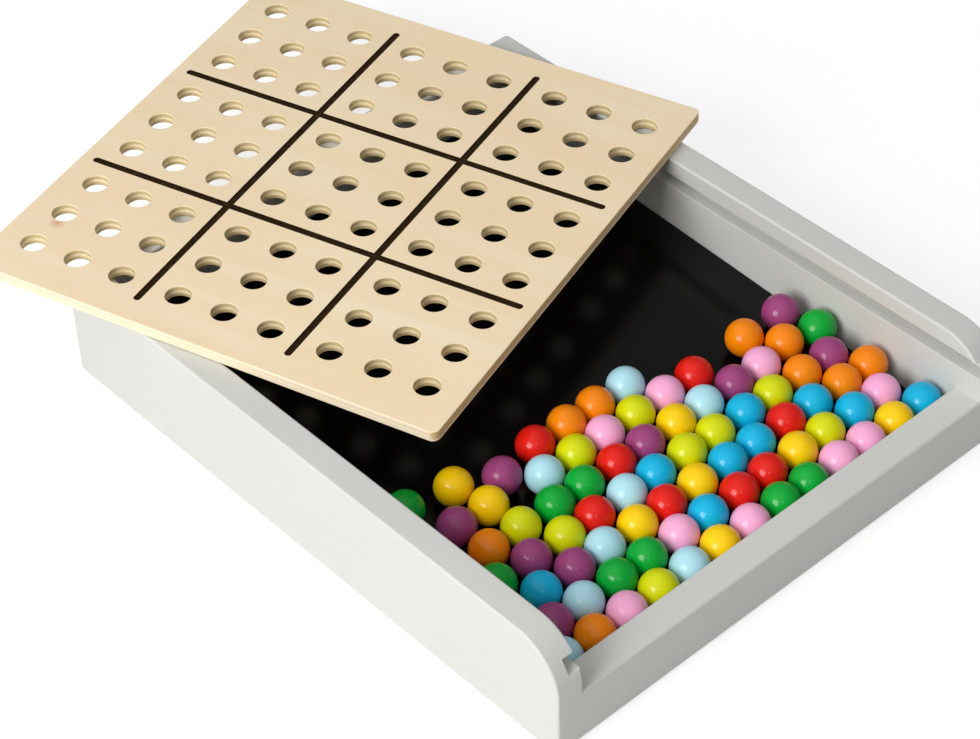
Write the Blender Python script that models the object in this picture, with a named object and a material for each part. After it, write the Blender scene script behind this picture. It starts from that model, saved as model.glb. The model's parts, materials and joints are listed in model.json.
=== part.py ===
"""Colour sudoku game: a painted tray with a sloping black floor, a drilled plywood board and coloured balls.

Metres, +Z up. X runs across the tray, Y from its open front to its back wall.
The origin is the middle of the front wall's underside.
"""
import math

import bmesh
import bpy
from mathutils import Matrix, Vector

# Balls, and the gaps between them where they lie packed in rows
ball_diameter = 0.0147
ball_row_gap = 0.00047
ball_cross_gap = 0.0003
balls_across = 13
row_slack = 0.0024
ball_subdivision_count = 2
link_diameter = 0.003
link_sides = 6

# Tray: two side walls with the other pieces between them
touching_gap = 0.0003
tray_length = 0.2645
tray_height = 0.0472
side_wall_thickness = 0.0114
back_wall_thickness = 0.0114
front_wall_thickness = 0.0124
front_wall_height = 0.0238
front_corner_radius = 0.020
front_corner_segments = 8
end_corner_radius = 0.0025
end_corner_segments = 3
edge_softening = 0.0010
softening_segments = 2

# Grooves that the board slides into when the game is put away
groove_depth = 0.0055
groove_height = 0.0056
lip_above_groove = 0.0073
board_side_play = 0.00025

# Sloping floor
floor_thickness = 0.004
floor_height_at_front = 0.0083
floor_slope = math.radians(3.2)

# Board: a hole is smaller than the ball that sits in it, and its pitch keeps seated balls apart
hole_undersize = 0.0047
seated_ball_gap = 0.0053
extra_gap_between_blocks = 0.005
hole_sides = 12
holes_per_block = 3
blocks = 3
board_margin = 0.015
board_thickness = 0.0046
board_corner_radius = 0.003
board_corner_segments = 3
board_edge_softening = 0.0006
line_width = 0.0024
line_past_outer_holes = 0.00425
line_depth = 0.0005
line_end_sides = 12

# Where the board lies on the tray: turned askew, one corner towards the front
board_turn = math.radians(18.4)
board_shift = -0.0047
front_opening = 0.1010

# What cutters reach past the faces that they cut
overrun = 0.002

# An edge counts as running along an axis, and a face as looking along it, from these shares on
straight_share = 0.99
facing_share = 0.5

# Sizes that follow from these
ball_radius = ball_diameter / 2
ball_step = ball_diameter + ball_row_gap
row_step = math.sqrt((ball_diameter + ball_cross_gap) ** 2 - (ball_step / 2) ** 2)
inner_width = balls_across * ball_step + row_slack
front_face = -front_wall_thickness / 2
front_inner_face = front_wall_thickness / 2
back_face = front_face + tray_length
back_inner_face = back_face - back_wall_thickness
groove_top = tray_height - lip_above_groove
hole_diameter = ball_diameter - hole_undersize
hole_pitch = ball_diameter + seated_ball_gap
block_gap = hole_pitch + extra_gap_between_blocks
block_step = (holes_per_block - 1) * hole_pitch + block_gap
hole_span = (blocks - 1) * block_step + (holes_per_block - 1) * hole_pitch
line_length = hole_span + hole_diameter + 2 * line_past_outer_holes
board_width = hole_span + 2 * board_margin
board_length = inner_width + 2 * (groove_depth - board_side_play)
board_reach_y = (board_length * math.sin(board_turn) + board_width * math.cos(board_turn)) / 2

colours = {
    "red": (0.70, 0.015, 0.015),
    "orange": (0.85, 0.25, 0.015),
    "yellow": (0.95, 0.57, 0.005),
    "lime": (0.52, 0.63, 0.012),
    "green": (0.010, 0.34, 0.045),
    "light_blue": (0.38, 0.72, 0.76),
    "blue": (0.02, 0.37, 0.68),
    "pink": (0.90, 0.33, 0.62),
    "purple": (0.30, 0.05, 0.23),
}

# The balls row by row, from the front and from the left. A word is one node: one ball, or two neighbours
# that share a node. A dot is an empty place.
letters = {
    "r": "red",
    "o": "orange",
    "y": "yellow",
    "m": "lime",
    "g": "green",
    "l": "light_blue",
    "b": "blue",
    "p": "pink",
    "v": "purple",
}
ball_rows = (
    "l o p m l y p gg pp y b",
    "vl gg pb rr ym bp",
    "yb vl yr y bb rb oo",
    "gv mr lb mm bm ov",
    "r om gg rv yl vp o g",
    "l v y l mp m p r . o v",
    "g . y v r oo l",
)

# Balls that lie off their place in the rows, as shares of a ball's diameter across and back
nudge_shares = {
    26: (-0.13, -0.09),
    39: (-0.15, -0.02),
    51: (-0.13, 0.00),
    52: (-0.08, 0.00),
    53: (-0.01, 0.02),
    62: (0.00, 0.19),
    64: (-0.65, 0.15),
    65: (-0.66, 0.15),
    66: (-0.66, 0.15),
    73: (-0.12, 0.11),
    74: (0.22, 0.13),
    75: (0.33, 0.49),
    76: (-0.36, 0.28),
    77: (-0.28, -0.23),
}

for old in list(bpy.data.objects):
    bpy.data.objects.remove(old, do_unlink=True)

parts = bpy.data.collections.new("colour_sudoku_game")
cutters = bpy.data.collections.new("cutters")
bpy.context.scene.collection.children.link(parts)
bpy.context.scene.collection.children.link(cutters)


def material(name, colour, roughness):
    made = bpy.data.materials.new(name)
    made.use_nodes = True
    shader = made.node_tree.nodes["Principled BSDF"]
    shader.inputs["Base Color"].default_value = (*colour, 1)
    shader.inputs["Roughness"].default_value = roughness
    shader.inputs["Metallic"].default_value = 0
    made.diffuse_color = (*colour, 1)
    return made


def add(name, mesh, collection, finish=None):
    made = bpy.data.objects.new(name, mesh)
    collection.objects.link(made)
    if finish:
        mesh.materials.append(finish)
    if collection == cutters:
        made.hide_render = True
        made.display_type = "WIRE"
    return made


def mesh_from(shape, name):
    mesh = bpy.data.meshes.new(name)
    bmesh.ops.recalc_face_normals(shape, faces=shape.faces)
    shape.to_mesh(mesh)
    shape.free()
    return mesh


def block(size):
    """A box centred on the origin."""
    shape = bmesh.new()
    bmesh.ops.create_cube(shape, size=1)
    bmesh.ops.scale(shape, vec=size, verts=shape.verts)
    return shape


def add_bar(shape, diameter, length, sides, matrix=Matrix()):
    """A round bar along Z, added to a shape."""
    radius = diameter / 2
    return bmesh.ops.create_cone(
        shape, cap_ends=True, segments=sides, radius1=radius, radius2=radius, depth=length, matrix=matrix
    )


def runs_along(edge, axis):
    low, high = (v.co for v in edge.verts)
    return abs((high - low).normalized()[axis]) > straight_share


def rim_of(shape, axis):
    """The edges round the two flat sides that look along an axis."""
    return [e for e in shape.edges if sum(abs(f.normal[axis]) > facing_share for f in e.link_faces) == 1]


def round_edges(shape, edges, radius, segments):
    bmesh.ops.bevel(
        shape, geom=edges, offset=radius, segments=segments, profile=0.5, affect="EDGES", clamp_overlap=True
    )


def cut(target, cutter, operation="DIFFERENCE"):
    step = target.modifiers.new(cutter.name, "BOOLEAN")
    step.operation = operation
    step.solver = "EXACT"
    step.material_mode = "TRANSFER"
    step.object = cutter


white_paint = material("white_paint", (0.60, 0.61, 0.58), 0.45)
black_gloss = material("black_gloss", (0.004, 0.004, 0.004), 0.05)
plywood = material("plywood", (0.84, 0.69, 0.47), 0.55)
lacquers = {name: material(f"{name}_lacquer", colour, 0.18) for name, colour in colours.items()}

# Side walls: a groove near the top of the inner face runs out through the rounded front corner


def side_wall_mesh(name):
    shape = block((side_wall_thickness, tray_length, tray_height))
    across = [e for e in shape.edges if runs_along(e, 0)]
    front_top = [e for e in across if e.verts[0].co.y < 0 < e.verts[0].co.z]
    others = [e for e in across if e not in front_top]
    round_edges(shape, front_top, front_corner_radius, front_corner_segments)
    others = [e for e in others if e.is_valid]
    round_edges(shape, others, end_corner_radius, end_corner_segments)
    round_edges(shape, rim_of(shape, 0), edge_softening, softening_segments)
    return mesh_from(shape, name)


wall_offset = inner_width / 2 + side_wall_thickness / 2
groove_run = back_inner_face - front_face + overrun
for side, name in ((-1, "side_wall_left"), (1, "side_wall_right")):
    wall = add(name, side_wall_mesh(name), parts, white_paint)
    wall.location = (side * wall_offset, front_face + tray_length / 2, tray_height / 2)
    bar = block((groove_depth + overrun, groove_run, groove_height))
    groove = add(f"{name}_groove", mesh_from(bar, "groove"), cutters)
    groove.location = (
        side * (inner_width / 2 + (groove_depth - overrun) / 2),
        back_inner_face - groove_run / 2,
        groove_top - groove_height / 2,
    )
    cut(wall, groove)

# Front and back walls, glued between the side walls


def cross_wall(name, thickness, height, middle):
    shape = block((inner_width - 2 * touching_gap, thickness, height))
    long_edges = [e for e in shape.edges if runs_along(e, 0)]
    round_edges(shape, long_edges, edge_softening, softening_segments)
    wall = add(name, mesh_from(shape, name), parts, white_paint)
    wall.location = (0, middle, height / 2)


cross_wall("front_wall", front_wall_thickness, front_wall_height, 0)
cross_wall("back_wall", back_wall_thickness, tray_height, back_face - back_wall_thickness / 2)

# Sloping floor: a gloss black panel that tips the balls to the front
floor_run = back_inner_face - front_inner_face - 2 * touching_gap - floor_thickness * math.sin(floor_slope)
floor_length = floor_run / math.cos(floor_slope)
plate = block((inner_width - 2 * touching_gap, floor_length, floor_thickness))
panel = add("sloping_floor", mesh_from(plate, "sloping_floor"), parts, black_gloss)


def floor_top(y):
    return floor_height_at_front + (y - front_inner_face) * math.tan(floor_slope)


floor_normal = Vector((0, -math.sin(floor_slope), math.cos(floor_slope)))
floor_middle = (front_inner_face + back_inner_face) / 2
panel.location = Vector((0, floor_middle, floor_top(floor_middle))) - floor_normal * floor_thickness / 2
panel.rotation_euler = (floor_slope, 0, 0)

# Board: nine blocks of nine holes, parted by four shallow lines


def hole_places():
    """The places of one row's holes, along the board, from its middle."""
    for block_index in range(blocks):
        for hole_index in range(holes_per_block):
            yield block_index * block_step + hole_index * hole_pitch - hole_span / 2


def board_mesh():
    shape = block((board_length, board_width, board_thickness))
    corners = [e for e in shape.edges if runs_along(e, 2)]
    round_edges(shape, corners, board_corner_radius, board_corner_segments)
    round_edges(shape, rim_of(shape, 2), board_edge_softening, 1)
    return mesh_from(shape, "playing_board")


def holes_mesh():
    holes = bmesh.new()
    for x in hole_places():
        for y in hole_places():
            place = Matrix.Translation((x, y, 0))
            add_bar(holes, hole_diameter, board_thickness + 2 * overrun, hole_sides, place)
    return mesh_from(holes, "holes")


def lines_mesh(name):
    """Two parallel lines with round ends, each a round bar drawn out along X."""
    lines = bmesh.new()
    turn = Matrix.Rotation(math.pi / line_end_sides, 4, "Z")
    for side in (-1, 1):
        made = add_bar(lines, line_width, 2 * line_depth, line_end_sides, turn)
        for v in made["verts"]:
            v.co.x += math.copysign((line_length - line_width) / 2, v.co.x)
            v.co.y += side * block_step / 2
    return mesh_from(lines, name)


board = add("playing_board", board_mesh(), parts, plywood)
board.location = (
    board_shift,
    front_face + front_opening + board_reach_y,
    tray_height + touching_gap + board_thickness / 2,
)
board.rotation_euler = (0, 0, board_turn)
holes = add("board_holes", holes_mesh(), cutters)
holes.parent = board
cut(board, holes)
for name, turn in (("lines_along", 0), ("lines_across", math.pi / 2)):
    lines = add(name, lines_mesh(name), cutters)
    lines.parent = board
    lines.location = (0, 0, board_thickness / 2)
    lines.rotation_euler = (0, 0, turn)
    cut(board, lines)

# Balls: packed in rows against the front and right walls, every second row half a step over
first_x = inner_width / 2 - ball_row_gap - ball_radius - (balls_across - 1) * ball_step
first_y = front_inner_face + touching_gap + ball_radius


def ball_place(number, row, slot):
    across, back = nudge_shares.get(number, (0, 0))
    x = first_x + (slot + row % 2 / 2) * ball_step + across * ball_diameter
    y = first_y + row * row_step + back * ball_diameter
    z = floor_top(y) + (ball_radius + touching_gap) / math.cos(floor_slope)
    return Vector((x, y, z))


def ball_mesh(name):
    shape = bmesh.new()
    bmesh.ops.create_icosphere(shape, subdivisions=ball_subdivision_count, radius=ball_radius)
    mesh = mesh_from(shape, name)
    mesh.shade_smooth()
    return mesh


def add_pair(name, colour_names, places):
    """Two neighbouring balls that share a node, joined by a thin link between their middles."""
    first, second = (Vector(p) for p in places)
    pair = add(name, ball_mesh(name), parts, lacquers[colour_names[0]])
    pair.location = first
    reach = second - first
    bar = bmesh.new()
    add_bar(bar, link_diameter, reach.length, link_sides)
    link = add(f"{name}_link", mesh_from(bar, "link"), cutters, lacquers[colour_names[0]])
    link.location = first + reach / 2
    link.rotation_mode = "QUATERNION"
    link.rotation_quaternion = reach.to_track_quat("Z", "Y")
    other = add(f"{name}_second", ball_mesh(f"{name}_second"), cutters, lacquers[colour_names[1]])
    other.location = second
    cut(pair, link, "UNION")
    cut(pair, other, "UNION")


number = 0
for row, words in enumerate(ball_rows):
    slot = 0
    for word in words.split():
        if word == ".":
            slot += 1
            continue
        colour_names = [letters[letter] for letter in word]
        numbers = [number + 1 + i for i in range(len(word))]
        places = [ball_place(n, row, slot + i) for i, n in enumerate(numbers)]
        name = "_".join([f"{n:02d}" for n in numbers] + colour_names)
        if len(word) == 1:
            ball = add(f"ball_{name}", ball_mesh(name), parts, lacquers[colour_names[0]])
            ball.location = places[0]
        else:
            add_pair(f"balls_{name}", colour_names, places)
        number += len(word)
        slot += len(word)
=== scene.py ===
"""Colour sudoku game: a painted tray with a gloss black sloping floor, a birch board and lacquered balls."""
import json
import math
import random

import bmesh
import bpy
from mathutils import Euler, Matrix, Vector

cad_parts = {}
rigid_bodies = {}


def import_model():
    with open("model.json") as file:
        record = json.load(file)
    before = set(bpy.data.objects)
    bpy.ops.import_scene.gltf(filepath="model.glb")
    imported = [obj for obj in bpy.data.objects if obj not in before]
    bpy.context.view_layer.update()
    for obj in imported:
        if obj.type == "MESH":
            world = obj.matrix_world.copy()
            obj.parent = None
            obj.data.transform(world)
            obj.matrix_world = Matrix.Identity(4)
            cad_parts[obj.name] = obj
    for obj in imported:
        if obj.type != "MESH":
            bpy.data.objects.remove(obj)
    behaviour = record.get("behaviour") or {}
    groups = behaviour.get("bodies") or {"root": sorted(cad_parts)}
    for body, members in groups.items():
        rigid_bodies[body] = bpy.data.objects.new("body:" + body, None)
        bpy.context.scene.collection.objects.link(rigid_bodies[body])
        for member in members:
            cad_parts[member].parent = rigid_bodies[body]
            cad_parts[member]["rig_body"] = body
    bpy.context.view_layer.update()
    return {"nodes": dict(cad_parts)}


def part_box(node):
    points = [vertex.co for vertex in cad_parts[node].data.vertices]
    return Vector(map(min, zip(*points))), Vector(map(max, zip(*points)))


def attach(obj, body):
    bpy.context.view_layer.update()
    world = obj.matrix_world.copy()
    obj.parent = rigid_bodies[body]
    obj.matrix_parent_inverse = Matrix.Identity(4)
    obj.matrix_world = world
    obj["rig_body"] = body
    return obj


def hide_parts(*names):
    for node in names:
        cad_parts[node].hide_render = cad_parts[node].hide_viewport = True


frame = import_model()

# Camera: a long lens from the front left, looking down into the tray.

camera_place = (-0.50885, -0.42391, 0.69415)
camera_turn_degrees = (47.8699, 1.0325, -42.6006)
camera_lens_mm = 99.659
camera_sensor_mm = 36
nearest_seen = 0.01

camera = bpy.data.objects.new("camera", bpy.data.cameras.new("camera"))
bpy.context.scene.collection.objects.link(camera)
camera.location = camera_place
camera.rotation_euler = Euler([math.radians(turn) for turn in camera_turn_degrees])
camera.data.lens = camera_lens_mm
camera.data.sensor_width = camera_sensor_mm
camera.data.clip_start = nearest_seen
bpy.context.scene.camera = camera
bpy.context.scene.view_settings.view_transform = "Standard"

# Studio: a white sheet under the game, a soft lamp low on the left and a large pale light overhead.
# A second, very weak lamp stands by the camera. The sheet shows some of its own white to the eye.

sheet_width = 12.0
sheet_below_tray = 0.0001
sheet_grey_to_light = (0.78, 0.78, 0.78, 1)
sheet_grey_to_eye = (0.42, 0.42, 0.42, 1)
sheet_own_white = 0.66
white = (1.0, 1.0, 1.0, 1)
horizon_pale = (0.95, 0.95, 0.95, 1)
overhead_direction = Vector((-0.40, 0.10, 0.90)).normalized()
overhead_stops = ((0.20, 0.23), (0.55, 0.40), (0.72, 0.58), (0.88, 0.88), (0.97, 1.15))
horizon_starts = 0.20
horizon_full = 0.08
lamp_aim = Vector((0.0, 0.12, 0.03))
lamps = {
    "key_lamp": {"direction": (-0.838, -0.118, 0.508), "distance": 1.4, "width": 0.70, "watts": 14.8},
    "camera_lamp": {"direction": (-0.426, -0.611, 0.668), "distance": 1.8, "width": 0.25, "watts": 0.9},
}


class Wire:
    """A socket of a material's nodes, or their start. Sums on it add Math nodes."""

    def __init__(self, tree, socket=None):
        self.tree = tree
        self.socket = socket

    def node(self, kind, settings=None, inputs=None, output=0):
        """Adds a node: its settings first, then a value or a link for each named socket."""
        made = self.tree.nodes.new(kind)
        for name, value in (settings or {}).items():
            if name != "stops":
                setattr(made, name, value)
                continue
            ramp = made.color_ramp.elements
            while len(ramp) < len(value):
                ramp.new(1)
            for stop, (place, colour) in zip(ramp, value):
                stop.position = place
                stop.color = colour
        for key, value in (inputs or {}).items():
            if isinstance(value, Wire):
                self.tree.links.new(value.socket, made.inputs[key])
            else:
                made.inputs[key].default_value = value
        return Wire(self.tree, made.outputs[output] if made.outputs else None)

    def math(self, operation, *values):
        return self.node("ShaderNodeMath", {"operation": operation}, dict(enumerate(values)))

    def __add__(self, other):
        return self.math("ADD", self, other)

    def __mul__(self, other):
        return self.math("MULTIPLY", self, other)

    __radd__ = __add__
    __rmul__ = __mul__


def new_finish(name):
    """An empty material, and the wire that its nodes start from."""
    finish = bpy.data.materials.new(name)
    finish.use_nodes = True
    finish.node_tree.nodes.clear()
    return finish, Wire(finish.node_tree)


def is_seen(start):
    """One for what the eye, a gloss or a glass shows, and nothing for light that falls on the game."""
    camera, glossy, clear = (
        start.node("ShaderNodeLightPath", output=name)
        for name in ("Is Camera Ray", "Is Glossy Ray", "Is Transmission Ray")
    )
    return camera.math("MAXIMUM", camera.math("MAXIMUM", camera, glossy), clear)


def noise(start, place, scale, detail):
    return start.node("ShaderNodeTexNoise", None, {"Vector": place, "Scale": scale, "Detail": detail})


def ramped(start, value, low, high, top=1.0):
    """Nothing where the value is low, top where it is high, and even between the two."""
    return start.node(
        "ShaderNodeMapRange", None, {"Value": value, "From Min": low, "From Max": high, "To Max": top}
    )


def tint(start, share, first, second):
    """The first colour, with a share of the second."""
    return start.node("ShaderNodeMix", {"data_type": "RGBA"}, {0: share, 6: first, 7: second}, 2)


def bump(start, height, strength, distance):
    return start.node(
        "ShaderNodeBump", None, {"Strength": strength, "Distance": distance, "Height": height}
    )


def coat(start, colour, roughness, gloss, relief=None):
    """Ends a material with its surface, smooth or with a relief."""
    facts = {"Base Color": colour, "Roughness": roughness, "Specular IOR Level": gloss}
    if relief:
        facts["Normal"] = relief
    surface = start.node("ShaderNodeBsdfPrincipled", None, facts)
    start.node("ShaderNodeOutputMaterial", None, {"Surface": surface})


def deselect_all():
    if bpy.context.mode != "OBJECT":
        bpy.ops.object.mode_set(mode="OBJECT")
    bpy.ops.object.select_all(action="DESELECT")


deselect_all()
bpy.ops.mesh.primitive_plane_add(size=sheet_width, location=(0, 0, -sheet_below_tray))
sheet = bpy.context.object
sheet.name = "white_sheet"
bpy.ops.object.transform_apply(location=True, rotation=True, scale=True)
sheet_paper, start = new_finish("sheet_paper")
seen = is_seen(start)
lit = start.node("ShaderNodeBsdfDiffuse", None, {"Color": sheet_grey_to_light})
shown = start.node(
    "ShaderNodeAddShader",
    None,
    {
        0: start.node("ShaderNodeBsdfDiffuse", None, {"Color": sheet_grey_to_eye}),
        1: start.node("ShaderNodeEmission", None, {"Color": white, "Strength": sheet_own_white}),
    },
)
paper = start.node("ShaderNodeMixShader", None, {0: seen, 1: lit, 2: shown})
start.node("ShaderNodeOutputMaterial", None, {"Surface": paper})
sheet.data.materials.append(sheet_paper)

surround = bpy.data.worlds.new("surround")
surround.use_nodes = True
surround.node_tree.nodes.clear()
start = Wire(surround.node_tree)
outward = start.node("ShaderNodeTexCoord", output="Generated")
towards_light = start.node(
    "ShaderNodeVectorMath", {"operation": "DOT_PRODUCT"}, {0: outward, 1: overhead_direction}, 1
)
overhead = start.node(
    "ShaderNodeValToRGB",
    {"stops": [(place, (level, level, level, 1)) for place, level in overhead_stops]},
    {"Fac": towards_light},
)
outward_rise = start.node("ShaderNodeSeparateXYZ", None, {"Vector": outward}, 2)
near_horizon = ramped(start, outward_rise, horizon_starts, horizon_full)
sky = tint(start, near_horizon * is_seen(start), overhead, horizon_pale)
glow = start.node("ShaderNodeBackground", None, {"Color": sky})
start.node("ShaderNodeOutputWorld", None, {"Surface": glow})
bpy.context.scene.world = surround

for name, facts in lamps.items():
    lamp = bpy.data.objects.new(name, bpy.data.lights.new(name, "AREA"))
    bpy.context.scene.collection.objects.link(lamp)
    lamp.data.size = facts["width"]
    lamp.data.energy = facts["watts"]
    direction = Vector(facts["direction"])
    lamp.location = lamp_aim + direction.normalized() * facts["distance"]
    lamp.rotation_euler = (-direction).to_track_quat("-Z", "Y").to_euler()

# Side walls of the tray: painted board, with a groove near the top that takes the playing board.
# The groove is routed from the front, out through the large rounded corner, and every edge is sanded soft.

paint_grey = (0.555, 0.560, 0.532, 1)
paint_pale_grey = (0.595, 0.600, 0.570, 1)
paint_gloss = 0.30
paint_roughness = 0.46
paint_roughness_swing = 0.16
paint_cloud_scale = 24.0
paint_cloud_detail = 4.0
paint_skin_scale = 900.0
paint_skin_detail = 2.0
paint_skin_strength = 0.35
paint_skin_height = 0.00004
front_corner_radius = 0.020
front_corner_segments = 28
end_corner_radius = 0.0025
end_corner_segments = 6
wall_edge_radius = 0.0010
wall_edge_segments = 4
groove_depth = 0.0055
groove_height = 0.0056
lip_above_groove = 0.0073
groove_fillet = 0.0005
groove_lip_radius = 0.0005
groove_segments = 3
overrun = 0.002
near_enough = 0.0001
straight_share = 0.99
facing_share = 0.5
smooth_below = math.radians(32)

satin_paint, start = new_finish("satin_paint")
place = start.node("ShaderNodeTexCoord", output="Object")
clouds = noise(start, place, paint_cloud_scale, paint_cloud_detail)
skin = noise(start, place, paint_skin_scale, paint_skin_detail)
coat(
    start,
    tint(start, clouds, paint_grey, paint_pale_grey),
    paint_roughness + clouds * paint_roughness_swing,
    paint_gloss,
    bump(start, skin, paint_skin_strength, paint_skin_height),
)


def make_block(name, low, high):
    """A box from corner to corner, its object at the origin."""
    deselect_all()
    size = high - low
    bpy.ops.mesh.primitive_cube_add(size=1, location=(low + high) / 2, scale=size)
    made = bpy.context.object
    made.name = name
    bpy.ops.object.transform_apply(location=True, rotation=True, scale=True)
    return made


def pick(piece, kind, wanted):
    """Opens a piece in edit mode with only the wanted vertices, edges or faces selected."""
    deselect_all()
    piece.select_set(True)
    bpy.context.view_layer.objects.active = piece
    bpy.ops.object.mode_set(mode="EDIT")
    bpy.ops.mesh.select_mode(type={"verts": "VERT", "edges": "EDGE", "faces": "FACE"}[kind])
    bpy.ops.mesh.select_all(action="DESELECT")
    shape = bmesh.from_edit_mesh(piece.data)
    for item in getattr(shape, kind):
        if wanted(item):
            item.select_set(True)
    shape.select_flush_mode()
    bmesh.update_edit_mesh(piece.data)


def soften(piece, wanted, radius, segments):
    """Rounds the wanted edges of a piece."""
    pick(piece, "edges", wanted)
    bpy.ops.mesh.bevel(offset=radius, segments=segments, profile=0.5, affect="EDGES")
    bpy.ops.object.mode_set(mode="OBJECT")


def runs_along(edge, axis):
    first, last = (v.co for v in edge.verts)
    return abs((last - first).normalized()[axis]) > straight_share


def is_rim(edge, axis):
    """An edge round one of the two flat sides that look along an axis."""
    return sum(abs(face.normal[axis]) > facing_share for face in edge.link_faces) == 1


def is_at(edge, ends):
    """An edge across the tray, at one of some ends that are given as in a side view."""
    return runs_along(edge, 0) and any(math.dist(edge.verts[0].co.yz, end) < near_enough for end in ends)


def cut_away(piece, cutter):
    step = piece.modifiers.new("cut", "BOOLEAN")
    step.operation = "DIFFERENCE"
    step.solver = "EXACT"
    step.material_mode = "TRANSFER"
    step.object = cutter
    deselect_all()
    piece.select_set(True)
    bpy.context.view_layer.objects.active = piece
    bpy.ops.object.modifier_apply(modifier=step.name)
    bpy.data.objects.remove(cutter, do_unlink=True)


def finish_piece(piece, body, node):
    """Shades a piece smooth, says what it rides on, and hides the CAD node that it stands for."""
    deselect_all()
    piece.select_set(True)
    bpy.context.view_layer.objects.active = piece
    bpy.ops.object.shade_smooth_by_angle(angle=smooth_below)
    even = piece.modifiers.new("even", "WEIGHTED_NORMAL")
    even.keep_sharp = True
    bpy.ops.object.modifier_apply(modifier=even.name)
    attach(piece, body)
    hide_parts(node)


for side, node in ((-1, "side_wall_left"), (1, "side_wall_right")):
    low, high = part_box(node)
    middle = (low + high) / 2
    wall = make_block(f"{node}_painted", low, high)
    wall.data.materials.append(satin_paint)
    soften(
        wall,
        lambda e: runs_along(e, 0) and e.verts[0].co.y < middle.y and e.verts[0].co.z > middle.z,
        front_corner_radius,
        front_corner_segments,
    )
    ends = [(low.y, low.z), (high.y, low.z), (high.y, high.z)]
    soften(wall, lambda e: is_at(e, ends), end_corner_radius, end_corner_segments)
    soften(wall, lambda e: is_rim(e, 0), wall_edge_radius, wall_edge_segments)
    inner_face = high.x if side < 0 else low.x
    groove_top = high.z - lip_above_groove
    reach = sorted((inner_face - side * overrun, inner_face + side * groove_depth))
    cutter = make_block(
        "groove",
        Vector((reach[0], low.y - overrun, groove_top - groove_height)),
        Vector((reach[1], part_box("back_wall")[0].y, groove_top)),
    )
    cutter.data.materials.append(satin_paint)
    soften(
        cutter,
        lambda e: runs_along(e, 1) and side * (e.verts[0].co.x - inner_face) > 0,
        groove_fillet,
        groove_segments,
    )
    cut_away(wall, cutter)
    groove_sides = (groove_top, groove_top - groove_height)
    soften(
        wall,
        lambda e: runs_along(e, 1)
        and abs(e.verts[0].co.x - inner_face) < near_enough
        and min(abs(e.verts[0].co.z - z) for z in groove_sides) < near_enough
        and e.calc_length() > front_corner_radius,
        groove_lip_radius,
        groove_segments,
    )
    finish_piece(wall, "tray", node)

# Front and back walls: the same board, glued between the side walls and painted with them.
# The front wall is low, so that a hand can reach the balls.
# Both reach into the side walls' soft edges, so that no joint shows.

for node in ("front_wall", "back_wall"):
    low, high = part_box(node)
    low.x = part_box("side_wall_left")[1].x - wall_edge_radius
    high.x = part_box("side_wall_right")[0].x + wall_edge_radius
    wall = make_block(f"{node}_painted", low, high)
    wall.data.materials.append(satin_paint)
    ends = [(low.y, low.z)] if node == "front_wall" else [(high.y, low.z), (high.y, high.z)]
    soften(wall, lambda e: is_at(e, ends), end_corner_radius, end_corner_segments)
    soften(
        wall,
        lambda e: runs_along(e, 0) and e.calc_face_angle() > smooth_below,
        wall_edge_radius,
        wall_edge_segments,
    )
    finish_piece(wall, "tray", node)

# Floor: a thin panel with a mirror gloss black face, laid with a slope so that the balls roll to the front.

gloss_black = (0.0012, 0.0012, 0.0012, 1)
panel_edge_radius = 0.0004
panel_edge_segments = 3
smear_scale = 30.0
smear_detail = 5.0
panel_gloss = 0.20
panel_roughness = 0.17
panel_roughness_swing = 0.05
same_place = 0.00001

mirror_black, start = new_finish("mirror_black")
place = start.node("ShaderNodeTexCoord", output="Object")
smears = noise(start, place, smear_scale, smear_detail)
coat(start, gloss_black, panel_roughness + smears * panel_roughness_swing, panel_gloss)

panel = bpy.data.objects.new("black_floor_panel", frame["nodes"]["sloping_floor"].data.copy())
bpy.context.scene.collection.objects.link(panel)
panel.data.materials.clear()
panel.data.materials.append(mirror_black)
pick(panel, "verts", lambda v: True)
bpy.ops.mesh.remove_doubles(threshold=same_place)
bpy.ops.mesh.dissolve_limited()
bpy.ops.object.mode_set(mode="OBJECT")
soften(panel, lambda e: True, panel_edge_radius, panel_edge_segments)
finish_piece(panel, "tray", "sloping_floor")

# Playing board: three-ply birch, drilled with nine blocks of nine holes and parted by four shallow dark lines.
# It lies loose on the side walls, turned askew. The grain of its faces runs from its front edge to its back.

birch_pale = (0.870, 0.745, 0.525, 1)
birch_warm = (0.835, 0.640, 0.385, 1)
birch_rosy = (0.850, 0.675, 0.460, 1)
birch_side_pale = (0.860, 0.760, 0.570, 1)
birch_side_tan = (0.690, 0.540, 0.360, 1)
birch_side_dusky = (0.790, 0.660, 0.470, 1)
birch_end_brown = (0.640, 0.450, 0.220, 1)
birch_end_rosy = (0.640, 0.340, 0.220, 1)
birch_end_pale = (0.900, 0.770, 0.580, 1)
birch_bore_pale = (0.880, 0.740, 0.480, 1)
birch_bore_tan = (0.580, 0.455, 0.240, 1)
line_brown = (0.021, 0.0090, 0.0012, 1)
line_worn_brown = (0.038, 0.022, 0.007, 1)
clear_gloss = 0.5
line_gloss = 0.1
face_roughness = 0.48
face_roughness_swing = 0.12
sawn_roughness = 0.62
line_roughness = 0.60
face_relief = (0.3, 0.00003)
sawn_relief = (0.5, 0.00005)
line_relief = (0.4, 0.00005)
edge_fibre_share = 0.30
bore_fibre_share = 0.35
knot_red = (0.600, 0.230, 0.120, 1)
knot_place = (-0.0711, 0.0839, 0.0023)
knot_radius = 0.0055
knot_raggedness = 0.004
board_turn = math.radians(18.4)
board_size = Vector((0.2100, 0.1999))
board_corner_radius = 0.003
board_corner_segments = 10
board_rim_radius = 0.0004
board_rim_segments = 3
end_grain_from = 0.0015
hole_radius = 0.005
hole_rim_radius = 0.00025
hole_rim_angles = (30, 60, 90)
hole_sides = 48
hole_pitch = 0.020
block_step = 0.065
holes_and_blocks_in_row = 3
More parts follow.
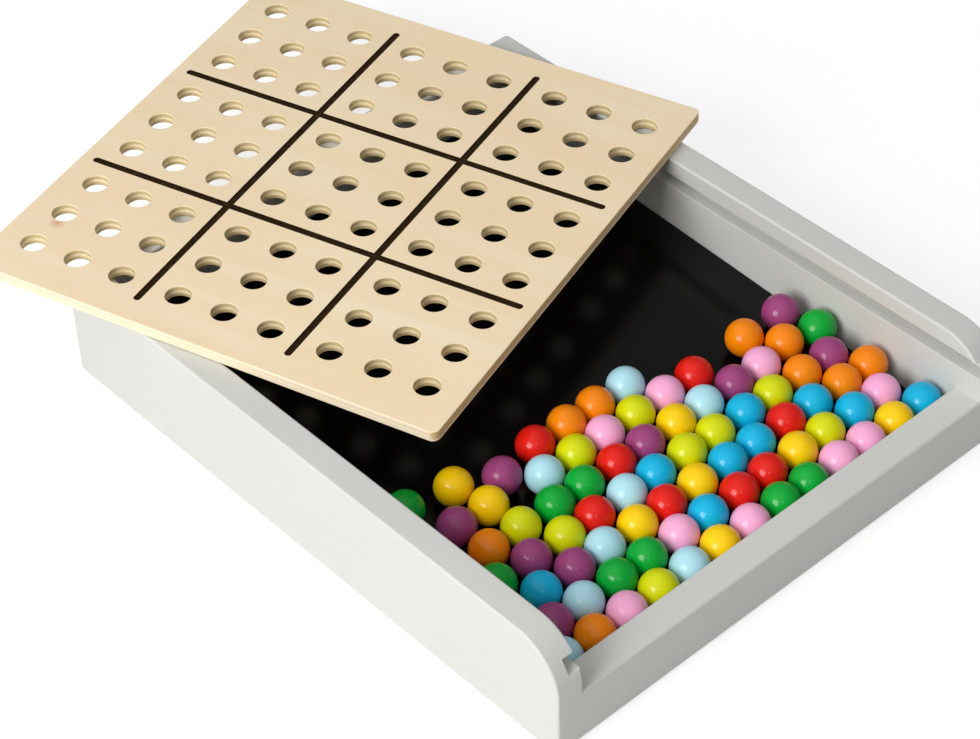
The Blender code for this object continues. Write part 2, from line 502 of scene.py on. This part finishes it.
line_width = 0.0030
line_length = 0.1892
line_depth = 0.0005
line_sides = 24
quarter_turn = math.pi / 2

low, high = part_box("playing_board")
board_middle = (low + high) / 2
board_thickness = high.z - low.z
half_size = Vector((board_size.x / 2, board_size.y / 2, board_thickness / 2))


def board_place(start):
    """Object coordinates turned and moved to the board's own middle and sides."""
    turn = Matrix.Rotation(-board_turn, 3, "Z")
    return start.node(
        "ShaderNodeMapping",
        None,
        {
            "Vector": start.node("ShaderNodeTexCoord", output="Object"),
            "Location": -(turn @ board_middle),
            "Rotation": (0, 0, -board_turn),
        },
    )


def stretched(start, place, stretch, scale, detail=4.0):
    """Noise drawn out along an axis."""
    squeezed = start.node("ShaderNodeMapping", None, {"Vector": place, "Scale": stretch})
    return noise(start, squeezed, scale, detail)


birch_face, start = new_finish("birch_face")
place = board_place(start)
patches = stretched(start, place, (1, 0.4, 1), 22.0, 2.0)
streaks = stretched(start, place, (1, 0.08, 1), 130.0)
pores = stretched(start, place, (1, 0.05, 1), 1500.0, 2.0)
patch_share = ramped(start, patches, 0.35, 0.70)
streak_share = ramped(start, streaks, 0.35, 0.75, 0.65)
colour = tint(start, streak_share, tint(start, patch_share, birch_pale, birch_rosy), birch_warm)
from_knot = start.node("ShaderNodeVectorMath", {"operation": "DISTANCE"}, {0: place, 1: knot_place}, 1)
knot_share = ramped(start, from_knot + streaks * knot_raggedness, knot_radius, 0.0)
colour = tint(start, knot_share, colour, knot_red)
roughness = face_roughness + streaks * face_roughness_swing
coat(start, colour, roughness, clear_gloss, bump(start, pores, *face_relief))


def plies(start, place, stops):
    """A ramp of colours from the board's underside to its face."""
    height = start.node("ShaderNodeSeparateXYZ", None, {"Vector": place}, 2)
    share = height.math("MULTIPLY_ADD", height, 1 / board_thickness, 0.5)
    return start.node("ShaderNodeValToRGB", {"stops": stops}, {"Fac": share})


birch_edge, start = new_finish("birch_edge")
place = board_place(start)
fibres = stretched(start, place, (0.3, 0.3, 3.0), 700.0)
long_side = plies(
    start,
    place,
    [
        (0.00, birch_side_pale),
        (0.26, birch_side_pale),
        (0.32, birch_side_dusky),
        (0.38, birch_side_pale),
        (0.62, birch_side_pale),
        (0.68, birch_side_tan),
        (0.76, birch_side_pale),
    ],
)
end_side = plies(
    start,
    place,
    [(0.00, birch_end_pale), (0.22, birch_end_pale), (0.34, birch_end_brown)],
)
along = start.node("ShaderNodeSeparateXYZ", None, {"Vector": place}, 1)
end_share = ramped(
    start,
    along.math("ABSOLUTE", along),
    half_size.y - 2 * end_grain_from,
    half_size.y - end_grain_from,
)
blotches = stretched(start, place, (1, 1, 0.5), 110.0, 2.0)
end_side = tint(start, ramped(start, blotches, 0.52, 0.74, 0.6), end_side, birch_end_rosy)
side = tint(start, end_share, long_side, end_side)
colour = tint(start, fibres * edge_fibre_share, side, birch_end_brown)
coat(start, colour, sawn_roughness, clear_gloss, bump(start, fibres, *sawn_relief))

birch_bore, start = new_finish("birch_bore")
place = board_place(start)
fibres = stretched(start, place, (1, 1, 2.5), 500.0)
rings = plies(
    start,
    place,
    [
        (0.25, birch_bore_tan),
        (0.42, birch_bore_pale),
        (0.54, birch_bore_pale),
        (0.66, birch_bore_tan),
        (0.86, birch_bore_tan),
        (0.95, birch_bore_pale),
    ],
)
colour = tint(start, fibres * bore_fibre_share, rings, birch_bore_tan)
coat(start, colour, sawn_roughness, clear_gloss, bump(start, fibres, *sawn_relief))

line_burn, start = new_finish("line_burn")
place = board_place(start)
wear = stretched(start, place, (1, 1, 1), 420.0)
colour = tint(start, ramped(start, wear, 0.5, 0.8), line_brown, line_worn_brown)
coat(start, colour, line_roughness, line_gloss, bump(start, wear, *line_relief))

board = make_block("birch_board", -half_size, half_size)
for finish in (birch_face, birch_edge, birch_bore, line_burn):
    board.data.materials.append(finish)
soften(board, lambda e: runs_along(e, 2), board_corner_radius, board_corner_segments)
pick(board, "faces", lambda f: abs(f.normal.z) < facing_share)
board.active_material_index = 1
bpy.ops.object.material_slot_assign()
bpy.ops.object.mode_set(mode="OBJECT")
soften(board, lambda e: is_rim(e, 2), board_rim_radius, board_rim_segments)

deselect_all()
straight_depth = board_thickness - 2 * hole_rim_radius
bpy.ops.mesh.primitive_cylinder_add(vertices=hole_sides, radius=hole_radius, depth=straight_depth)
drill = bpy.context.object
drill.data.materials.append(birch_bore)
for side in (-1, 1):
    pick(drill, "faces", lambda f: f.normal.z * side > facing_share)
    reached, width = 0.0, hole_radius
    for angle in hole_rim_angles:
        next_reach = hole_rim_radius * math.sin(math.radians(angle))
        next_width = hole_radius + hole_rim_radius * (1 - math.cos(math.radians(angle)))
        rise = side * (next_reach - reached + (same_place if angle == hole_rim_angles[-1] else 0))
        bpy.ops.mesh.extrude_region_move(TRANSFORM_OT_translate={"value": (0, 0, rise)})
        grow = next_width / width
        bpy.ops.transform.resize(value=(grow, grow, 1), center_override=(0, 0, 0))
        reached, width = next_reach, next_width
    bpy.ops.mesh.extrude_region_move(TRANSFORM_OT_translate={"value": (0, 0, side * overrun)})
    bpy.ops.object.mode_set(mode="OBJECT")
for axis, step in ((0, hole_pitch), (0, block_step), (1, hole_pitch), (1, block_step)):
    row = drill.modifiers.new("row", "ARRAY")
    row.count = holes_and_blocks_in_row
    row.use_relative_offset = False
    row.use_constant_offset = True
    row.constant_offset_displace = [step if i == axis else 0 for i in range(3)]
    deselect_all()
    drill.select_set(True)
    bpy.context.view_layer.objects.active = drill
    bpy.ops.object.modifier_apply(modifier=row.name)
back_to_corner = hole_pitch + block_step
drill.data.transform(Matrix.Translation((-back_to_corner, -back_to_corner, 0)))
cut_away(board, drill)

for turn in (0, quarter_turn):
    deselect_all()
    bpy.ops.mesh.primitive_cylinder_add(
        vertices=line_sides, radius=line_width / 2, depth=2 * line_depth, location=(0, 0, half_size.z)
    )
    router = bpy.context.object
    bpy.ops.object.transform_apply(location=True, rotation=True, scale=True)
    router.data.materials.append(line_burn)
    for side in (-1, 1):
        pick(router, "verts", lambda v: v.co.x * side > same_place)
        bpy.ops.transform.translate(value=(side * (line_length - line_width) / 2, 0, 0))
        bpy.ops.object.mode_set(mode="OBJECT")
    router.data.transform(Matrix.Translation((0, -block_step / 2, 0)))
    other = router.data.copy()
    other.transform(Matrix.Translation((0, block_step, 0)))
    second = bpy.data.objects.new("second_router", other)
    bpy.context.scene.collection.objects.link(second)
    for cutter in (router, second):
        cutter.data.transform(Matrix.Rotation(turn, 4, "Z"))
        cut_away(board, cutter)

board.rotation_euler.z = board_turn
board.location = board_middle
deselect_all()
board.select_set(True)
bpy.context.view_layer.objects.active = board
bpy.ops.object.transform_apply(location=True, rotation=True, scale=True)
finish_piece(board, "board", "playing_board")

# Balls: turned wooden balls in nine colours, tumbled in gloss lacquer, loose in the tray.
# Each is its own piece, also where two of them share one CAD solid.

ball_radius = 0.00740
ball_cuts = 11
lacquer_colours = {
    "red": (0.72, 0.012, 0.006, 1),
    "orange": (0.88, 0.235, 0.002, 1),
    "yellow": (0.95, 0.60, 0.002, 1),
    "lime": (0.64, 0.68, 0.002, 1),
    "green": (0.002, 0.37, 0.038, 1),
    "light_blue": (0.42, 0.72, 0.82, 1),
    "blue": (0.004, 0.43, 0.71, 1),
    "pink": (0.90, 0.40, 0.64, 1),
    "purple": (0.32, 0.055, 0.185, 1),
}
lacquer_shade = 0.88
lacquer_gloss = 0.26
lacquer_roughness = 0.13
lacquer_roughness_swing = 0.10
lacquer_cloud_scale = 160.0
lacquer_cloud_detail = 3.0
lacquer_skin_scale = 420.0
lacquer_skin_detail = 2.0
lacquer_skin_strength = 0.3
lacquer_skin_height = 0.00004
pair_from = 1.5


def gloss_lacquer(name, colour):
    """A lacquer of one colour, a little deeper in places."""
    finish, start = new_finish(name)
    place = start.node("ShaderNodeTexCoord", output="Object")
    clouds = noise(start, place, lacquer_cloud_scale, lacquer_cloud_detail)
    skin = noise(start, place, lacquer_skin_scale, lacquer_skin_detail)
    deeper = tuple(part * lacquer_shade for part in colour[:3]) + (1,)
    coat(
        start,
        tint(start, clouds, colour, deeper),
        lacquer_roughness + clouds * lacquer_roughness_swing,
        lacquer_gloss,
        bump(start, skin, lacquer_skin_strength, lacquer_skin_height),
    )
    return finish


lacquers = {name: gloss_lacquer(f"{name}_lacquer", colour) for name, colour in lacquer_colours.items()}

deselect_all()
bpy.ops.mesh.primitive_cube_add(size=2)
turned_ball = bpy.context.object
pick(turned_ball, "faces", lambda f: True)
bpy.ops.mesh.subdivide(number_cuts=ball_cuts)
bpy.ops.transform.tosphere(value=1)
bpy.ops.object.mode_set(mode="OBJECT")
shrink = ball_radius / turned_ball.data.vertices[0].co.length
turned_ball.data.transform(Matrix.Scale(shrink, 4))
bpy.ops.object.shade_smooth()


def ball_middles(node):
    """The middles of the one or two balls of a CAD node, from left to right."""
    low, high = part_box(node)
    middle = (low + high) / 2
    if high.x - low.x < pair_from * 2 * ball_radius:
        return [middle]
    reach = (high.z - low.z) / 2
    places = []
    for side, end in ((-1, low.x), (1, high.x)):
        near = [v.co for v in frame["nodes"][node].data.vertices if (v.co.x - middle.x) * side > 0]
        back = (min(p.y for p in near) + max(p.y for p in near)) / 2
        places.append(Vector((end - side * reach, back, middle.z)))
    return places


random.seed(81)
for node in sorted(name for name in frame["nodes"] if name.startswith("ball")):
    words = node.replace("light_blue", "light-blue").split("_")[1:]
    numbers = [word for word in words if word.isdigit()]
    colours = [word.replace("-", "_") for word in words if not word.isdigit()]
    for number, colour, place in zip(numbers, colours, ball_middles(node)):
        ball = bpy.data.objects.new(f"turned_ball_{number}_{colour}", turned_ball.data.copy())
        bpy.context.scene.collection.objects.link(ball)
        roll = Euler([random.uniform(0, math.tau) for _ in range(3)]).to_matrix().to_4x4()
        ball.data.transform(Matrix.Translation(place) @ roll)
        ball.data.materials.append(lacquers[colour])
        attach(ball, frame["nodes"][node]["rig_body"])
        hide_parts(node)
bpy.data.objects.remove(turned_ball, do_unlink=True)
